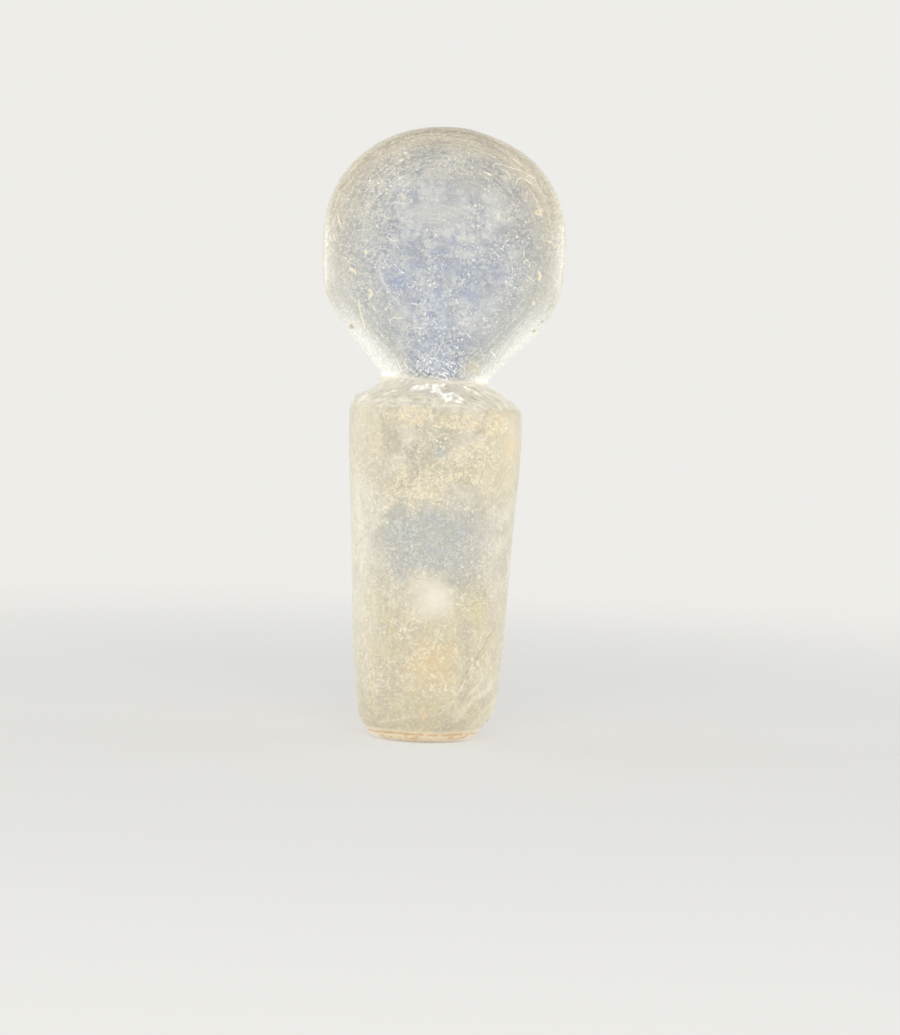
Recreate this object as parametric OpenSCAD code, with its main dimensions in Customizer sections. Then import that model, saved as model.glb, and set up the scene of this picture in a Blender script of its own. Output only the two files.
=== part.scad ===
// Glass bottle stopper: a ground conical plug, a rounded shoulder, a pinched round neck
// and a flat disc head for the fingers, all drawn out of one lump of glass.
// Millimetres. The plug's axis is Z, its flat end rests on z = 0, and the flat faces
// of the head look along -Y and +Y.

/* [Plug] */
// Diameter at the top of the ground taper
ground_d = 14.2; // [11:0.1:24]
// Height of the top of the ground taper above the flat end
ground_h = 20.2; // [14:0.1:34]
// Ground taper: the diameter grows by one in this many
taper = 10; // [8:0.5:20]
// Width of the rounding on the lower edge, measured towards the axis
toe_w = 2.6; // [1:0.1:3.6]
// Height of the rounding on the lower edge
toe_h = 4.6; // [1.5:0.1:7]

/* [Shoulder] */
// Length of the unground band between the taper and the shoulder
band_h = 7.6; // [3:0.1:16]
// How far the band swells out past the top of the taper
band_swell = 0.34; // [0.1:0.01:1]
// Radius of the shoulder's rounded corner
shoulder_r = 2; // [0.8:0.1:3]
// Rise of the shoulder towards the neck, in degrees above level
shoulder_rise = 30; // [15:1:45]

/* [Neck] */
// Diameter of the pinch, where the head's flanks would meet the shoulder in a sharp corner
neck_d = 8.6; // [6:0.1:10]
// Reach of the rounding in that corner
neck_blend = 1.5; // [0.4:0.1:2.5]
// How far the neck is squeezed off the plug's axis, towards +X
neck_set = -0.25; // [-0.6:0.01:0.6]

/* [Head] */
// Width of the head across its widest line
head_w = 20.8; // [15:0.1:32]
// Height of the head above the pinch
head_h = 21.7; // [17:0.1:32]
// Thickness of the head through its middle
head_t = 8.2; // [5:0.1:9]
// Height of the crown, from the widest line to the top
crown_h = 9.9; // [6:0.1:12]
// Squareness of the crown: 2 is an ellipse, more is fuller at the corners
crown_full = 2.13; // [1.9:0.01:3]
// Lean of the straight flanks outwards from upright, in degrees
flank_lean = 43; // [36:0.5:55]
// Reach of the rounding where the flanks turn into the sides
flank_blend = 2; // [0.5:0.1:4]
// Inward bow of the sides: the height in which they would close below the widest line
side_h = 20; // [16:0.5:40]
// Squareness of the head's level sections: 2 is an ellipse, more is flatter in the faces
face_full = 2.5; // [2:0.05:3.5]
// How far the head is set off the plug's axis, towards +X
head_set = 0.18; // [-0.6:0.01:0.6]

/* [Wear] */
// Radius of the ball-shaped chip out of the left flank
chip_r = 0.75; // [0.3:0.05:1.2]
// Depth of that chip
chip_deep = 0.3; // [0.1:0.05:0.6]
// Height of that chip above the pinch
chip_z = 4.5; // [3:0.1:6]
// Depth of the gouge across the ground taper
gouge_deep = 0.3; // [0.1:0.05:0.6]
// Height of the middle of the gouge above the flat end
gouge_z = 7.1; // [6:0.1:10]
// Bearing of the gouge round the plug, in degrees from -Y towards +X
gouge_turn = 40; // [0:1:80]
// Lean of the gouge away from upright, in degrees
gouge_lean = 34; // [10:1:60]

/* [Hidden] */

// Plug outline
ground_r = ground_d / 2;
band_r = ground_r + band_swell;
band_top = ground_h + band_h;
// the band swells along an arc that is upright at its top
band_arc = (band_h * band_h + band_swell * band_swell) / (2 * band_swell);

// Shoulder outline
slope = tan(shoulder_rise);
corner_r = band_r - shoulder_r * (1 - sin(shoulder_rise));
corner_z = band_top + shoulder_r * cos(shoulder_rise);

// Pinch, where the shoulder's slope runs in to the neck
neck_r = neck_d / 2;
neck_z = corner_z + (corner_r - neck_r) * slope;

// Head outline
head_r = head_w / 2;
face_t = head_t / 2;
wide_z = neck_z + head_h - crown_h;
top_z = neck_z + head_h;
// the head is rooted in the shoulder, just under its skin
root_z = neck_z - neck_blend / 2;
tuck = 0.05;

// Facets
round_n = 128;
arc_steps = 12;
ring_n = 72;
lower_rings = 18;
crown_rings = 16;
root_pack = 1.5;

// Gouge: cut by the V-shaped rim of a large thin wheel
wheel_r = 50;
wheel_half = 0.3;

function wall_r(z) = ground_r - (ground_h - z) / (2 * taper);
function slope_r(z) = corner_r - (z - corner_z) / slope;
function smooth(t) = let (u = min(max(t, 0), 1)) u * u * (3 - 2 * u);

// the smaller or larger of two lengths, rounded over where they are within k of each other
function soft_min(a, b, k) = min(a, b) - pow(max(k - abs(a - b), 0), 2) / (4 * k);
function soft_max(a, b, k) = -soft_min(-a, -b, k);

// how far a squared-off ellipse of exponent n still reaches at share t of its height
function reach(t, n) = pow(max(1 - pow(abs(t), n), 0), 1 / n);

// Half the head's width at height z: a flare out of the shoulder, straight flanks,
// bowed sides and a full crown
function flare(r, z) = soft_max(r, slope_r(z) - tuck, neck_blend);
function flank_x(z) = flare(neck_r + (z - neck_z) * tan(flank_lean), z);
function side_x(z) = head_r * (z > wide_z ? reach((z - wide_z) / crown_h, crown_full)
                                          : reach((wide_z - z) / side_h, 2));
function half_w(z) = z > wide_z ? side_x(z) : soft_min(side_x(z), flank_x(z), flank_blend);

// Half its thickness: round at the neck, thinning to the faces, closing over at the crown
function half_t(z) = let (up = (z - neck_z) / (wide_z - neck_z))
    up > 1 ? face_t * reach((z - wide_z) / crown_h, face_full)
           : flare(neck_r + (face_t - neck_r) * smooth(up), z);
function full(z) = 2 + (face_full - 2) * smooth((z - neck_z) / (wide_z - neck_z));

// How far each level is set off the axis: not at the root, by neck_set at the pinch,
// then by head_set
function set_x(z) = let (head = smooth((z - neck_z) / neck_r))
    head_set * head + neck_set * (1 - head) * smooth((z - root_z) / (neck_z - root_z));

// One level section of the head, as a squared-off ellipse
function signed_pow(v, p) = sign(v) * pow(abs(v), p);
function section(z) = let (w = half_w(z), t = half_t(z), p = 2 / full(z))
    [for (i = [0 : ring_n - 1]) let (a = 360 * i / ring_n)
        [set_x(z) + w * signed_pow(cos(a), p), t * signed_pow(sin(a), p), z]];

// Heights of the sections: close together at the pinch and again at the top
head_levels = concat(
    [for (i = [0 : lower_rings - 1])
        root_z + (wide_z - root_z) * pow(i / lower_rings, root_pack)],
    [for (i = [0 : crown_rings - 1])
        wide_z + crown_h * pow(sin(90 * i / crown_rings), 2 / crown_full)]);

module plug() {
    toe = [for (i = [0 : arc_steps]) let (a = 90 * i / arc_steps)
        let (z = toe_h * (1 - cos(a))) [wall_r(z) - toe_w * (1 - sin(a)), z]];
    band = [for (i = [0 : arc_steps]) let (h = band_h * i / arc_steps)
        [band_r - band_arc + sqrt(pow(band_arc, 2) - pow(band_h - h, 2)), ground_h + h]];
    corner = [for (i = [1 : arc_steps]) let (a = (90 - shoulder_rise) * i / arc_steps)
        [band_r - shoulder_r * (1 - cos(a)), band_top + shoulder_r * sin(a)]];
    rotate_extrude($fn = round_n)
        polygon(concat([[0, 0]], toe, band, corner, [[neck_r, neck_z], [0, neck_z]]));
}

// Head: level sections lofted from the round neck to the flat disc and closed at the top
module head() {
    sections = [for (z = head_levels) section(z)];
    levels = len(sections);
    tip = levels * ring_n;
    skin = [for (j = [0 : levels - 2], i = [0 : ring_n - 1]) let (k = (i + 1) % ring_n)
        [j * ring_n + i, (j + 1) * ring_n + i, (j + 1) * ring_n + k, j * ring_n + k]];
    crown = [for (i = [0 : ring_n - 1])
        [(levels - 1) * ring_n + i, tip, (levels - 1) * ring_n + (i + 1) % ring_n]];
    underside = [[for (i = [0 : ring_n - 1]) i]];
    polyhedron(concat([for (s = sections) each s], [[set_x(top_z), 0, top_z]]),
               concat(skin, crown, underside), convexity = 4);
}

// Chip out of the edge of the flank, on the -X side
module chip() {
    z = neck_z + chip_z;
    out = chip_r - chip_deep;
    translate([set_x(z) - half_w(z) - out * cos(flank_lean), 0, z - out * sin(flank_lean)])
        sphere(r = chip_r, $fn = 48);
}

// Gouge down the ground taper: one straight stroke, deepest at its middle
module gouge() {
    rotate([0, 0, gouge_turn])
        translate([0, -wall_r(gouge_z) + gouge_deep, gouge_z])
            rotate([0, gouge_lean, 0])
                translate([0, -wheel_r, 0])
                    rotate([0, 90, 0])
                        rotate_extrude($fn = 360)
                            polygon([[wheel_r - 2 * wheel_half, -wheel_half], [wheel_r, 0],
                                     [wheel_r - 2 * wheel_half, wheel_half]]);
}

module stopper() {
    color([0.84, 0.82, 0.76])
        difference() {
            union() {
                plug();
                head();
            }
            chip();
            gouge();
        }
}

stopper();
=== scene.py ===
# %% [markdown]
# # A weathered glass bottle stopper
#
# The real thing is one solid lump of glass. A glass worker pressed the plug, pinched the
# hot end flat to make a finger grip, and later ground the plug true on a turning cone, so
# that it seals in one bottle's neck. Years in the ground have left it scratched, chipped
# and stained with ochre earth.
#
# So there is one piece to make and one finish to give it. The piece is a sheet rolled
# into a tube and shaped level by level. The finish is two materials laid over each other:
# the glass, and the worn skin with its dirt.

# %% The tools and the solid
import math

import bmesh
import bpy
from mathutils import Matrix, Vector, noise


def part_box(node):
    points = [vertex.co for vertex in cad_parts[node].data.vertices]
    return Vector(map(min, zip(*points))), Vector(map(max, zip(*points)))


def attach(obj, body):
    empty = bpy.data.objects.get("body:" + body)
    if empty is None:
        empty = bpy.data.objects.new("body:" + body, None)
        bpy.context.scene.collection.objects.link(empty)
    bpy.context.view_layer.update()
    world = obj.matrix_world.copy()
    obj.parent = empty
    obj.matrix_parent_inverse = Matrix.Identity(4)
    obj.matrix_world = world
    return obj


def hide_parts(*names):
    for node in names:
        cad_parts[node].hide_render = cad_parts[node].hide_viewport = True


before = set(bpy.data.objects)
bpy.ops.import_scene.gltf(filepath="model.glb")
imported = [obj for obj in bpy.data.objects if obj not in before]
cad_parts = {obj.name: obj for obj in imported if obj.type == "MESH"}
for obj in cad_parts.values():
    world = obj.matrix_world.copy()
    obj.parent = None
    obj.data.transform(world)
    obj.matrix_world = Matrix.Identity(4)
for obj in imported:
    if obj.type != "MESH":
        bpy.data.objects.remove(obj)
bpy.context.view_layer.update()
low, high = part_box("stopper")
print("The solid stands in a box of", [round(1000 * (b - a), 2) for a, b in zip(low, high)], "mm")

# %% [markdown]
# ## Sizes
#
# All the work below is done in millimetres, because that is how a stopper is measured,
# and turned into metres when a point is placed. The head's size comes from the solid. The
# rest repeats the plug's few driving sizes.

# %% The stopper's sizes, in millimetres
MM = 0.001

ground_d = 14.2     # diameter at the top of the ground taper
ground_h = 20.2     # height of the top of the ground taper
taper = 10.0        # the diameter grows by one in this many
toe_w = 2.6         # width of the rounding on the lower edge
toe_h = 4.6         # height of the rounding on the lower edge
band_h = 7.6        # length of the band above the taper
band_swell = 0.34   # how far that band swells out
shoulder_r = 2.0    # radius of the shoulder's corner
shoulder_rise = math.radians(30)
neck_d = 8.6        # the pinch between shoulder and head
neck_blend = 1.5    # reach of the rounding at the pinch
neck_set = -0.25    # sideways set of the neck
head_set = 0.18     # sideways set of the head
head_t = 8.2        # thickness of the head
crown_h = 9.9       # height from the head's widest line to its top
crown_full = 2.13   # squareness of the crown
flank_lean = math.radians(43)   # how far the flanks lean out above the pinch
flank_blend = 2.0   # reach of the rounding between a flank and a side
side_h = 20.0       # the sides would close this far under the widest line
face_full = 2.5     # squareness of the head's level sections

top_z = high[2] / MM
head_r = (high[0] - low[0]) / MM / 2
wide_z = top_z - crown_h
band_r = ground_d / 2 + band_swell
band_top = ground_h + band_h
band_arc = (band_h ** 2 + band_swell ** 2) / (2 * band_swell)
corner_r = band_r - shoulder_r * (1 - math.sin(shoulder_rise))
corner_z = band_top + shoulder_r * math.cos(shoulder_rise)
neck_r = neck_d / 2
neck_z = corner_z + (corner_r - neck_r) * math.tan(shoulder_rise)
root_z = neck_z - neck_blend / 2
print("The pinch is", round(neck_z, 2), "mm up, the widest line", round(wide_z, 2), "mm up")

# %% [markdown]
# ## Three small shapes that the outline is made of
#
# `ease` turns on slowly and stops slowly. `soft_min` picks the smaller of two lengths and
# rounds the corner where they cross, which is how a flank turns into a side without a
# crease, and `soft_max` does the same for the larger. `reach` is a quarter of a
# squared-off ellipse.

# %% Easing, soft corners and ellipses
def ease(t):
    t = min(max(t, 0.0), 1.0)
    return t * t * (3 - 2 * t)


def soft_min(a, b, k):
    return min(a, b) - max(k - abs(a - b), 0) ** 2 / (4 * k)


def soft_max(a, b, k):
    return -soft_min(-a, -b, k)


def reach(t, power):
    return max(1 - abs(t) ** power, 0) ** (1 / power)


print("A quarter of the way, ease gives", ease(0.25), "and a circle", round(reach(0.25, 2), 3))

# %% [markdown]
# ## The plug's outline
#
# The plug is turned, so one radius for each height says it all: a rounded lower edge, the
# ground taper, a band that swells a little because it was never ground, the shoulder's
# round corner, and its slope in to the neck.

# %% The plug's radius at a height
def shoulder_slope(z):
    return corner_r - (z - corner_z) / math.tan(shoulder_rise)


def ground_radius(z):
    return ground_d / 2 - (ground_h - z) / (2 * taper)


def plug_radius(z):
    if z < toe_h:
        return ground_radius(z) - toe_w * (1 - reach(1 - z / toe_h, 2))
    if z < ground_h:
        return ground_radius(z)
    if z < band_top:
        return band_r - band_arc + math.sqrt(band_arc ** 2 - (band_top - z) ** 2)
    if z < corner_z:
        return band_r - shoulder_r * (1 - reach((z - band_top) / shoulder_r, 2))
    return max(shoulder_slope(z), 0)


print("Radius at the flat end", round(plug_radius(0), 2), "and at the shoulder",
      round(plug_radius(band_top), 2), "mm")

# %% [markdown]
# ## The head's outline
#
# The head changes from round at the pinch to a flat disc, so it needs two lengths for each
# height: half its width and half its thickness. A third number says how square the
# section is: 2 is an ellipse, and more flattens the two faces that the pincers closed on.

# %% The head's width, thickness, squareness and set
def half_width(z):
    if z > wide_z:
        return head_r * reach((z - wide_z) / crown_h, crown_full)
    flank = neck_r + (z - neck_z) * math.tan(flank_lean)
    flank = soft_max(flank, shoulder_slope(z), neck_blend)
    return soft_min(head_r * reach((wide_z - z) / side_h, 2), flank, flank_blend)


def half_thickness(z):
    if z > wide_z:
        return head_t / 2 * reach((z - wide_z) / crown_h, face_full)
    waist = neck_r + (head_t / 2 - neck_r) * ease((z - neck_z) / (wide_z - neck_z))
    return soft_max(waist, shoulder_slope(z), neck_blend)


def squareness(z):
    return 2 + (face_full - 2) * ease((z - neck_z) / (wide_z - neck_z))


def sideways(z):
    head = ease((z - neck_z) / neck_r)
    return head_set * head + neck_set * (1 - head) * ease((z - root_z) / (neck_z - root_z))


print("Half width of the head", round(half_width(wide_z), 2), "half thickness",
      round(half_thickness(wide_z), 2), "mm")

# %% [markdown]
# ## One point of the skin
#
# `skin_point` takes a bearing round the axis and a height, and gives the point there. Where
# the head grows out of the shoulder it takes whichever of the two stands out further.

# %% The point at a bearing and a height
def signed_power(value, power):
    return math.copysign(abs(value) ** power, value)


def skin_point(bearing, z, spread=1.0):
    c, s = math.cos(bearing), math.sin(bearing)
    plug = Vector((plug_radius(z) * c, plug_radius(z) * s))
    if z < root_z:
        return Vector((plug.x * spread, plug.y * spread, z))
    power = 2 / squareness(z)
    head = Vector((half_width(z) * signed_power(c, power) + sideways(z),
                   half_thickness(z) * signed_power(s, power)))
    outer = head.lerp(plug, ease((plug.length - head.length) / 0.1 + 0.5))
    return Vector((outer.x, outer.y, z))


print("The right end of the widest line is at", round(skin_point(0, wide_z).x, 2), "mm")

# %% [markdown]
# ## Levels
#
# The skin is described level by level. Levels lie close together where the form turns
# quickly or where a chip or the gouge needs fine mesh, and further apart along plain
# stretches.

# %% The heights of the levels
SIDES = 336
STEP = 1.0
END_RINGS = 6
TOE_RINGS = 28
CROWN_RINGS = 44
gouge_top = 10.6            # the gouge ends under this height
chip_low, chip_top = 34.4, 36.4     # the flanks' chips lie between these


def even(start, stop, spacing):
    count = max(round((stop - start) / (spacing * STEP)), 1)
    return [start + (stop - start) * i / count for i in range(count)]


end_rings = [(0.0, i / END_RINGS) for i in range(END_RINGS)]
heights = [toe_h * (1 - math.cos(math.radians(90 * i / TOE_RINGS))) for i in range(TOE_RINGS)]
for start, stop, spacing in [
        (toe_h, gouge_top, 0.13), (gouge_top, ground_h, 0.3), (ground_h, band_top, 0.3),
        (band_top, neck_z + 1, 0.12), (neck_z + 1, chip_low, 0.25),
        (chip_low, chip_top, 0.14), (chip_top, wide_z, 0.3)]:
    heights += even(start, stop, spacing)
heights += [wide_z + crown_h * math.sin(math.radians(90 * i / CROWN_RINGS)) ** (2 / crown_full)
            for i in range(CROWN_RINGS + 1)]
levels = end_rings + [(z, 1.0) for z in heights]
print(len(levels), "levels of", SIDES, "points, about",
      2 * SIDES * (len(levels) - 1), "triangles")

# %% [markdown]
# ## Rolling the sheet
#
# A plain grid has one row of points for each level. Each point is moved to its place on
# the skin, which rolls the sheet into a tube. Its two long edges then meet and its first
# and last rows shrink to one point each, and welding them closes the glass all round.

# %% A sheet rolled into a tube and welded
weld_reach = 1e-5
sheet = bmesh.new()
bmesh.ops.create_grid(sheet, x_segments=SIDES, y_segments=len(levels) - 1, size=1.0)
for point in sheet.verts:
    column = round((point.co.x + 1) / 2 * SIDES) % SIDES
    row = round((point.co.y + 1) / 2 * (len(levels) - 1))
    z, spread = levels[row]
    point.co = skin_point(2 * math.pi * column / SIDES, z, spread)
bmesh.ops.remove_doubles(sheet, verts=sheet.verts, dist=weld_reach)
bmesh.ops.recalc_face_normals(sheet, faces=sheet.faces)
sheet.normal_update()
open_edges = [edge for edge in sheet.edges if not edge.is_manifold]
print("Welded:", len(sheet.verts), "points,", len(open_edges), "open edges")

# %% [markdown]
# ## What the hand left
#
# No two of these are alike, because a hand held the tools. The shoulder slopes a little to
# one side, the skin is faintly wavy where the glass chilled against the pincers, and the
# pincers' round jaws left a shallow flat in each face. A few soft dents pull the outline in
# where the glass sank as it cooled, and the foot is set a little to one side.

# %% Tilt, waves, jaw marks and dents
shoulder_tilt = math.radians(1.9)
tilt_from, tilt_to, tilt_fade = 23, 31, 5   # heights, and how softly the tilt starts and ends
toe_shift = -0.28
toe_shift_h = 3.0
wave_height = 0.035
wave_length = 5.0
finer = 2.3         # the second wave is this many times shorter
calm_h = 3.0        # the waves start over this height above the ground taper
calm_top_h = 2.0    # and die out over this height at the crown
jaw_centre = Vector((0.4, 41.0))
jaw_r = 5.5
jaw_deep = 0.07
jaw_edge = 0.7      # width of the edge of a jaw's flat
dents = [   # centre, reach along x, y and z, depth
    (Vector((5.0, 0, 51.6)), Vector((4.5, 7.0, 3.0)), 0.15),
    (Vector((-5.3, 0, 29.7)), Vector((2.2, 7.0, 1.3)), 0.16),
    (Vector((5.8, 0, 29.2)), Vector((2.0, 7.0, 1.2)), 0.10),
    (Vector((-6.3, 0, 5.0)), Vector((1.8, 7.0, 3.2)), 0.16),
    (Vector((6.3, 0, 4.6)), Vector((1.8, 7.0, 3.2)), 0.13),
]


def share_out(place, centre, reaches):
    """How far a place is from a centre, where 1 is the rim of the oval round it."""
    return Vector([a / b for a, b in zip(place - centre, reaches)]).length


def hand_marks(place, outward):
    """How far the hand moved this place of the skin."""
    x, y, z = place
    tilt = ease((z - tilt_from) / tilt_fade) * (1 - ease((z - tilt_to) / tilt_fade))
    shift = Vector((toe_shift * (1 - ease(z / toe_shift_h)), 0,
                    -x * math.tan(shoulder_tilt) * tilt))
    wave = noise.noise(place / wave_length) + 0.5 * noise.noise(place / (wave_length / finer))
    unground = ease((z - ground_h) / calm_h)
    swell = wave_height * wave * unground * (1 - ease((z - top_z + calm_top_h) / calm_top_h))
    from_jaw = (Vector((x, z)) - jaw_centre).length
    face = ease(abs(outward.y) * 3 - 1.5)
    swell -= jaw_deep * face * (1 - ease((from_jaw - jaw_r) / jaw_edge + 0.5))
    for centre, reaches, deep in dents:
        swell -= deep * (1 - ease(share_out(place, centre, reaches)))
    return shift + outward * swell


moved = [(point, hand_marks(point.co, point.normal)) for point in sheet.verts]
for point, shift in moved:
    point.co += shift
print("The hand moved the skin by up to",
      round(max(shift.length for _, shift in moved), 3), "mm")

# %% [markdown]
# ## Chips and the gouge
#
# A chip leaves a small scoop. Each one is an oval region, and the points inside it are
# pushed inwards, furthest at its middle. A chip on the head's narrow edge reaches from face
# to face. The gouge is one straight stroke down the ground taper: a groove that is deepest
# at its middle, with an edge that crumbled here and there.

# %% The chips
def surface_at(x, z):
    """The front of the skin at this place, as it was before any chip."""
    if z < root_z:
        r = plug_radius(z)
        return Vector((x, -math.sqrt(max(r * r - x * x, 0)), z))
    w, t, n = half_width(z), half_thickness(z), squareness(z)
    return Vector((x, -t * reach(min(abs(x - sideways(z)) / w, 1), n), z))


chips = [   # centre, reach along x, y and z, depth
    (Vector((-8.35, -0.4, 35.2)), Vector((0.75, 2.6, 0.55)), 0.42),
    (Vector((9.2, -0.6, 36.0)), Vector((0.5, 1.6, 0.35)), 0.14),
    (Vector((8.1, -1.9, 35.1)), Vector((0.4, 0.5, 0.35)), 0.14),
    (Vector((10.5, -0.5, 40.2)), Vector((0.4, 1.5, 0.4)), 0.09),
    (Vector((9.95, -1.0, 45.8)), Vector((0.5, 1.2, 0.5)), 0.07),
    (surface_at(8.06, 45.25), Vector((0.3, 0.3, 0.3)), 0.12),
    (Vector((-7.3, 0.6, 25.6)), Vector((0.6, 0.7, 0.4)), 0.06),
    (Vector((7.45, -0.4, 27.6)), Vector((0.5, 1.4, 0.4)), 0.09),
]


def scoop(place, outward):
    """The floor of a chip is flat over a little more than a third of its reach."""
    shift = Vector((0, 0, 0))
    for centre, reaches, deep in chips:
        inwards = 1 - share_out(place, centre, reaches)
        if inwards > 0:
            shift -= outward * deep * min(1.6 * inwards, 1.0)
    return shift


print(len(chips), "chips, the deepest of", max(deep for centre, reaches, deep in chips), "mm")

# %% The gouge
gouge_z = 7.1
gouge_bearing = math.radians(41)    # from the front, towards the right
gouge_lean = math.radians(32)
gouge_half = 3.7        # half its length
gouge_deep = 0.26
gouge_wide = 0.26       # half its width
gouge_bend = 0.012
gouge_waver = 0.08      # how far it wanders from its line


def groove(place, outward):
    """How far the gouge moved this place of the skin."""
    if not 2 < place.z < 12 or place.y > 0:
        return Vector((0, 0, 0))
    r = plug_radius(gouge_z)
    along_round = r * (math.atan2(place.x, -place.y) - gouge_bearing)
    up = place.z - gouge_z
    along = up * math.cos(gouge_lean) + along_round * math.sin(gouge_lean)
    across = along_round * math.cos(gouge_lean) - up * math.sin(gouge_lean)
    across += gouge_waver * noise.noise(place * 1.1) - gouge_bend * along * along / 2
    wide = gouge_wide * (1 + 0.5 * noise.noise(place * 2.3))
    lengthwise = 1 - (along / gouge_half) ** 2
    if lengthwise <= 0:
        return Vector((0, 0, 0))
    return -outward * gouge_deep * lengthwise * max(0, 1 - abs(across) / wide)


moved = [(point, scoop(point.co, point.normal) + groove(point.co, point.normal))
         for point in sheet.verts]
for point, shift in moved:
    point.co += shift
print("Points moved by the chips and the gouge:",
      sum(shift.length > 1e-6 for _, shift in moved))

# %% [markdown]
# ## Handing the piece over
#
# The sheet goes to metres and into one object at the origin. It takes the place of the
# plain solid and rides on the same body. The foot is cut level with the ground first.

# %% The mesh and its object
for point in sheet.verts:
    point.co.z = max(point.co.z, 0.0)
bmesh.ops.scale(sheet, vec=(MM, MM, MM), verts=sheet.verts)
bmesh.ops.recalc_face_normals(sheet, faces=sheet.faces)
for face in sheet.faces:
    face.smooth = True
mesh = bpy.data.meshes.new("stopper_glass")
sheet.to_mesh(mesh)
sheet.free()
stopper = bpy.data.objects.new("stopper_glass", mesh)
bpy.context.scene.collection.objects.link(stopper)
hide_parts("stopper")
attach(stopper, "root")
print("The glass has", sum(len(face.vertices) - 2 for face in mesh.polygons), "triangles")

# %% [markdown]
# ## Writing shader sums as plain sums
#
# Each shader node is one small step. `Wire` holds a node's output and lets it be added,
# multiplied and compared like a number, so that a mask reads as a formula. `step` puts
# any other node down, sets its choices and fills its inputs with numbers or wires.

# %% A wire that can be added and multiplied
class Wire:
    """One node output that Python's own arithmetic works on."""

    def __init__(self, socket):
        self.socket = socket

    def named(self, output):
        """Another output of the same node."""
        return Wire(self.socket.node.outputs[output])

    def sums(self, operation, *values):
        return step(self.socket.id_data, "ShaderNodeMath", {"operation": operation},
                    dict(enumerate(values)))

    def __add__(self, other):
        return self.sums("ADD", self, other)

    def __sub__(self, other):
        return self.sums("SUBTRACT", self, other)

    def __rsub__(self, other):
        return self.sums("SUBTRACT", other, self)

    def __mul__(self, other):
        return self.sums("MULTIPLY", self, other)

    def __truediv__(self, other):
        return self.sums("DIVIDE", self, other)

    def __pow__(self, other):
        return self.sums("POWER", self, other)

    def __abs__(self):
        return self.sums("ABSOLUTE", self)

    __radd__ = __add__
    __rmul__ = __mul__

    def least(self, other):
        return self.sums("MINIMUM", self, other)

    def most(self, other):
        return self.sums("MAXIMUM", self, other)

    def rise(self, start, stop):
        """0 at start and 1 at stop, with a soft turn at both ends."""
        low_end, high_end = (0.0, 1.0) if start < stop else (1.0, 0.0)
        return step(self.socket.id_data, "ShaderNodeMapRange",
                    {"interpolation_type": "SMOOTHSTEP"},
                    {"Value": self, "From Min": min(start, stop), "From Max": max(start, stop),
                     "To Min": low_end, "To Max": high_end})


print("Besides sums, a wire has", [name for name in vars(Wire) if not name.startswith("__")])


# %% One node, an empty tree and a paint card
def step(tree, kind, choices, inputs, output=0):
    """Any node: its kind, its choices, and the number or wire for each input."""
    made = tree.nodes.new(kind)
    for name, choice in choices.items():
        setattr(made, name, choice)
    for name, value in inputs.items():
        if isinstance(value, Wire):
            tree.links.new(value.socket, made.inputs[name])
        else:
            made.inputs[name].default_value = value
    return Wire(made.outputs[output]) if made.outputs else None


def blank(owner):
    """The empty node tree of a material or a world."""
    owner.use_nodes = True
    owner.node_tree.nodes.clear()
    return owner.node_tree


def paint(red, green, blue):
    """A colour from the 0 to 255 numbers of a paint card."""
    def light(value):
        value /= 255
        return value / 12.92 if value <= 0.04045 else ((value + 0.055) / 1.055) ** 2.4
    return (light(red), light(green), light(blue), 1.0)


print("128 on a paint card sends back", round(paint(128, 128, 128)[0], 3), "of the light")

# %% [markdown]
# ## Patterns that wear leaves
#
# A few patterns do most of the work. `cloud` is soft blotches, and short straight nicks
# too, where its cells are drawn out thin. `worms` are crooked hairs: the contour lines of
# a cloud, most of whose length is rubbed out again. `specks` are dots of many sizes. A
# `patch` is one stain at one place, `scratches` are straight strokes joined end to end,
# and an `arc` is a curved one. All are told their sizes in millimetres, and `laid` turns
# a place into cells of that size.

# %% The material, and a place in millimetres
glass_finish = bpy.data.materials.new("weathered_glass")
tree = blank(glass_finish)


def laid(vector, size, middle=(0, 0, 0), turn=0.0):
    """The place counted in cells of this size from this middle, turned about Y."""
    return step(tree, "ShaderNodeMapping", {"vector_type": "TEXTURE"},
                {"Vector": vector, "Location": middle, "Rotation": (0, turn, 0),
                 "Scale": size})


metres = step(tree, "ShaderNodeTexCoord", {}, {}, "Object")
place = laid(metres, (MM, MM, MM))


def axes(vector):
    parts = step(tree, "ShaderNodeSeparateXYZ", {}, {"Vector": vector})
    return parts, parts.named("Y"), parts.named("Z")


print(glass_finish.name, "starts with", len(tree.nodes), "nodes")


# %% Blotches, hairs and dots
def cloud(size, detail=1.0, seed=0.0, turn=0.0, vector=place):
    """Soft blotches this far apart, or this far across, through and up: about one half."""
    spacing = size if isinstance(size, tuple) else (size, size, size)
    cells = laid(vector, spacing, (seed, 0.7 * seed, -seed), turn)
    return step(tree, "ShaderNodeTexNoise", {},
                {"Vector": cells, "Scale": 1.0, "Detail": detail, "Roughness": 0.55})


def worms(size, thick, kept, seed, contours=5.0):
    """Crooked hairs, fewer where kept is higher."""
    hills = cloud(size, 1.0, seed)
    beside = hills.sums("PINGPONG", hills, 0.5 / contours)
    rubbed = cloud(0.8 * size, 0.0, seed + 37.0)
    return beside.rise(thick, 0.0) * rubbed.rise(kept, kept + 0.05)


def specks(size, spacing, kept, seed):
    """Dots of every size up to this radius, fewer where kept is higher."""
    cells = laid(place, (spacing, spacing, spacing), (seed, -seed, 0.6 * seed))
    dots = step(tree, "ShaderNodeTexVoronoi", {}, {"Vector": cells, "Scale": 1.0})
    pick = step(tree, "ShaderNodeSeparateColor", {}, {"Color": dots.named("Color")})
    radius = (pick - kept) * (size / spacing / (1 - kept))
    return (radius - dots).rise(0.0, 0.4 * size / spacing)


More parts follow.
